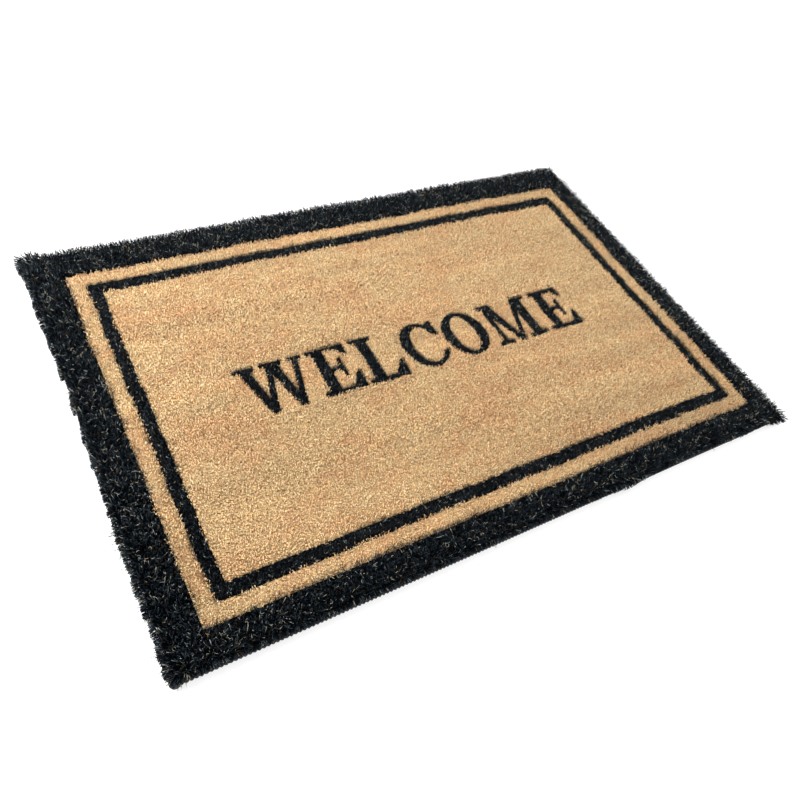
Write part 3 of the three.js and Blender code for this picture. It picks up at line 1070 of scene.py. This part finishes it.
LOOSE_COUNTS = {f"border_pile_{side}": 90 for side in SIDES}
LOOSE_COUNTS |= {f"line_pile_{side}": 16 for side in SIDES}
LOOSE_COUNTS |= {name: 6 for name in LETTERS}
LOOSE_SHAPES = ((CURL, 0.2, 1.6 * MM), (BOW, 1.2, 2.8 * MM))  # with the share of the counts, and the size
LOOSE_RADIUS = 0.16 * MM


def loose_fibres():
    """Curls and bows of undyed fibre on the black zones, where the pile holds them."""
    rng = seeded("loose")
    parts = []
    for strand, share, size in LOOSE_SHAPES:
        places = []
        for node, number in LOOSE_COUNTS.items():
            plan = rectangle(node)
            keep = 9 * MM if node.startswith("border") else 2 * MM
            for _ in range(int(number * share)):
                x = rng.uniform(max(plan.left, mat_plan.left + keep), min(plan.right, mat_plan.right - keep))
                y = rng.uniform(max(plan.front, mat_plan.front + keep), min(plan.back, mat_plan.back - keep))
                places.append((x, y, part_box(node)[1].z + rng.uniform(0.1, 0.9) * MM))
        count = len(places)
        lengths = size * rng.uniform(0.6, 1.5, count)
        spin = rng.uniform(0, 2 * np.pi, count)
        flat = np.column_stack([np.cos(spin), np.sin(spin), np.zeros(count)])
        aims = np.column_stack([rng.normal(0, 0.25, (count, 2)), np.ones(count)])
        roots = np.array(places) - flat * lengths[:, None] * 0.8
        radii = LOOSE_RADIUS * rng.uniform(0.8, 1.3, count)
        parts.append(sow(strand, roots, aims, flat, lengths, radii, rng.uniform(0, 1, count)))
    return assemble("loose_fibres", parts, LOOSE)


# ---- Ground ----


def laid(axis, along, across=0, z=0):
    """A place or a step that is given along and across an axis."""
    return (along, across, z) if axis == "x" else (across, along, z)


def tube(path, across, high, axis):
    """A yarn through the points of a path along an axis, with open ends and rings square to the axis."""
    turn = (0, math.pi / 2, 0) if axis == "x" else (math.pi / 2, 0, 0)
    bpy.ops.mesh.primitive_circle_add(vertices=YARN_SIDES, radius=1, rotation=turn)
    yarn = bpy.context.object
    bpy.ops.object.transform_apply(rotation=True)
    edit(yarn)
    bpy.ops.transform.resize(value=laid(axis, 1, across, high))
    bpy.ops.transform.translate(value=path[0])
    for before, after in zip(path, path[1:]):
        step = Vector(after) - Vector(before)
        bpy.ops.mesh.extrude_region_move(TRANSFORM_OT_translate={"value": step})
    bpy.ops.object.mode_set(mode="OBJECT")
    return yarn


def trim(piece, axis, reach):
    """Cuts a piece off at plus and minus reach along an axis, and closes the cuts."""
    edit(piece)
    for way in (-1, 1):
        place = laid(axis, way * reach)
        bpy.ops.mesh.select_all(action="SELECT")
        bpy.ops.mesh.bisect(plane_co=place, plane_no=place, use_fill=True, clear_outer=True)
    settle(piece)


def smooth(piece, finish):
    activate(piece)
    bpy.ops.object.shade_smooth()
    piece.data.materials.clear()
    piece.data.materials.append(finish)
    return piece


def woven_yarns(name, axis, reach, side_reach):
    """All the yarns along one axis. Neighbours are half a wave apart, and the two axes pass each other."""
    wave = 2 * YARN_PITCH
    height = GROUND_TOP / 2
    first_up = 1 if axis == "x" else -1
    yarns = []
    for odd in (0, 1):
        outermost = (math.floor(side_reach / YARN_PITCH - odd) // 2 * 2 + odd) * YARN_PITCH
        count = round(2 * outermost / wave) + 1
        start = -(math.ceil(reach / wave) + 1) * wave + odd * YARN_PITCH * (axis == "x")
        up = first_up if axis == "x" or not odd else -first_up
        path = []
        for quarter in range(5):
            along = start + quarter * wave / 4
            z = height + up * YARN_WAVE * math.cos(quarter * math.pi / 2)
            path.append(laid(axis, along, -outermost, z))
        yarn = tube(path, YARN_WIDTH / 2, YARN_HEIGHT / 2, axis)
        waves = 2 * math.ceil(reach / wave) + 2
        repeat(yarn, laid(axis, wave), waves, join=True)
        trim(yarn, axis, reach)
        repeat(yarn, laid(axis, 0, wave), count)
        yarns.append(yarn)
    woven = smooth(join(yarns, name), YARN)
    flat = slanted_map(np.array([v.co for v in woven.data.vertices]))
    corners = [loop.vertex_index for loop in woven.data.loops]
    while woven.data.uv_layers:
        woven.data.uv_layers.remove(woven.data.uv_layers[0])
    mapped = flat[corners].astype(np.float32).ravel()
    woven.data.uv_layers.new(name="OFBake").uv.foreach_set("vector", mapped)
    return woven


def backing():
    """The ground node again, hollowed from below so that the yarns show there."""
    cloth = merged_copy("ground_weave", "ground_cloth")
    select_vertices(cloth, lambda co: co.z < NEAR)
    bpy.ops.transform.translate(value=(0, 0, BACKING_BOTTOM))
    bpy.ops.object.mode_set(mode="OBJECT")
    cloth.data.materials.clear()
    cloth.data.materials.append(YARN)
    return cloth


def plait(side):
    """Three strands, plaited along one edge. The front and back ones end in knots at the mat's corners."""
    low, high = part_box(f"edge_plait_{side}")
    middle = (low + high) / 2
    axis = "x" if side in ("front", "back") else "y"
    reach = high.x - PLAIT_END if axis == "x" else high.y
    offset = middle.y if axis == "x" else middle.x
    offset += math.copysign(PLAIT_STAND[side], offset)
    strands = []
    for third in range(3):
        start = -(math.ceil(reach / PLAIT_CYCLE) + 1 - third / 3) * PLAIT_CYCLE
        path = []
        for step in range(PLAIT_STEPS + 1):
            angle = 2 * math.pi * step / PLAIT_STEPS
            along = start + step / PLAIT_STEPS * PLAIT_CYCLE
            swing = offset + PLAIT_SWING * math.sin(angle)
            z = middle.z - PLAIT_SINK + PLAIT_WAVE * math.sin(2 * angle)
            path.append(laid(axis, along, swing, z))
        strand = tube(path, STRAND_RADIUS * STRAND_WIDTH, STRAND_RADIUS, axis)
        cycles = 2 * math.ceil(reach / PLAIT_CYCLE) + 2
        repeat(strand, laid(axis, PLAIT_CYCLE), cycles, join=True)
        trim(strand, axis, reach)
        strands.append(strand)
    if axis == "x":
        for way in (-1, 1):
            strands.append(knot((way * (high.x - 0.5 * MM), offset, middle.z - 0.6 * MM), way))
    return smooth(join(strands, f"edge_plait_{side}_cord"), PLAIT)


def knot(place, seed):
    """The end of a plait, whipped into a round knot."""
    bpy.ops.mesh.primitive_uv_sphere_add(segments=14, ring_count=9, radius=1, location=place)
    end = bpy.context.object
    end.scale = KNOT_SIZE
    bpy.ops.object.transform_apply(location=True, scale=True)
    edit(end)
    bpy.ops.transform.vertex_random(offset=0.35 * MM, seed=5 + seed)
    bpy.ops.object.mode_set(mode="OBJECT")
    return end


# ---- Making all the pieces ----

FIELD_TREE = top_tree("field_pile")


def declare(piece, slot, *replaced):
    for node in replaced:
        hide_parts(node)
    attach(piece, "root")
    return piece


for strip in range(FIELD_STRIPS):
    declare(field_strip(strip), "coir_natural_pile", "field_pile")
declare(inlay("o_middle_pile", SHEARED, NATURAL), "coir_natural_pile", "o_middle_pile")
for name in LETTERS:
    declare(inlay(name, INLAID, INLAY_BLACK), "coir_black_pile", name)
for side in SIDES:
    declare(inlay(f"band_pile_{side}", SHEARED, NATURAL), "coir_natural_pile", f"band_pile_{side}")
    declare(inlay(f"line_pile_{side}", INLAID, INLAY_BLACK), "coir_black_pile", f"line_pile_{side}")
    declare(border(side), "coir_black_pile", f"border_pile_{side}")
    declare(edge_shag(side), "coir_black_pile")
declare(edge_wisps(), "coir_black_pile")
declare(loose_fibres(), "coir_natural_pile")

cloth = declare(backing(), "coir_ground", "ground_weave")
middle_x, middle_y = GROUND_REACH
yarns = [
    declare(woven_yarns("ground_warp", "x", middle_x, middle_y), "coir_ground", "ground_weave"),
    declare(woven_yarns("ground_weft", "y", middle_y, middle_x), "coir_ground", "ground_weave"),
]
for side in SIDES:
    declare(plait(side), "coir_black_plait", f"edge_plait_{side}")
    nodes[f"edge_twine_{side}"].data.materials.clear()
    nodes[f"edge_twine_{side}"].data.materials.append(TWINE)

# ---- Camera, light and floor ----

AIM = Vector((-0.0842, -0.0832, FIELD_TOP))
DISTANCE = 0.9641
HEADING = math.radians(43.45)  # of the line of sight, from +Y towards +X
DIP = math.radians(50.08)  # of the line of sight below level
ROLL = math.radians(18.57)
LENS = 33.38

sight = Vector((math.sin(HEADING) * math.cos(DIP), math.cos(HEADING) * math.cos(DIP), -math.sin(DIP)))
camera = bpy.data.objects.new("camera", bpy.data.cameras.new("camera"))
camera.data.lens = LENS
camera.data.sensor_width = 36
camera.location = AIM - sight * DISTANCE
camera.rotation_mode = "QUATERNION"
camera.rotation_quaternion = sight.to_track_quat("-Z", "Y") @ Quaternion((0, 0, 1), ROLL)
bpy.context.scene.collection.objects.link(camera)
bpy.context.scene.camera = camera


def lamp(name, place, aim, size, watts):
    light = bpy.data.lights.new(name, "AREA")
    light.shape = "DISK"
    light.size = size
    light.energy = watts
    holder = bpy.data.objects.new(name, light)
    holder.location = place
    holder.rotation_euler = (Vector(aim) - Vector(place)).to_track_quat("-Z", "Y").to_euler()
    bpy.context.scene.collection.objects.link(holder)


lamp("key", (-1.35, 0.5, 1.75), (0, 0, 0), 0.6, 88)
lamp("fill", (0.9, -1.2, 1.5), (0, 0, 0), 1.6, 11)

world = bpy.data.worlds.new("studio")
world.use_nodes = True
world.node_tree.nodes["Background"].inputs["Color"].default_value = (1, 1, 1, 1)
world.node_tree.nodes["Background"].inputs["Strength"].default_value = 0.96
bpy.context.scene.world = world
bpy.context.scene.view_settings.view_transform = "Standard"

bpy.ops.mesh.primitive_plane_add(size=8, location=(0, 0, 0))
floor = bpy.context.object
floor.name = "floor"
pale = Finish("pale_floor", 0.9, Emission_Strength=0.55)
pale.shader.inputs["Base Color"].default_value = (0.55, 0.55, 0.55, 1)
pale.shader.inputs["Emission Color"].default_value = (1, 1, 1, 1)
floor.data.materials.append(pale.material)
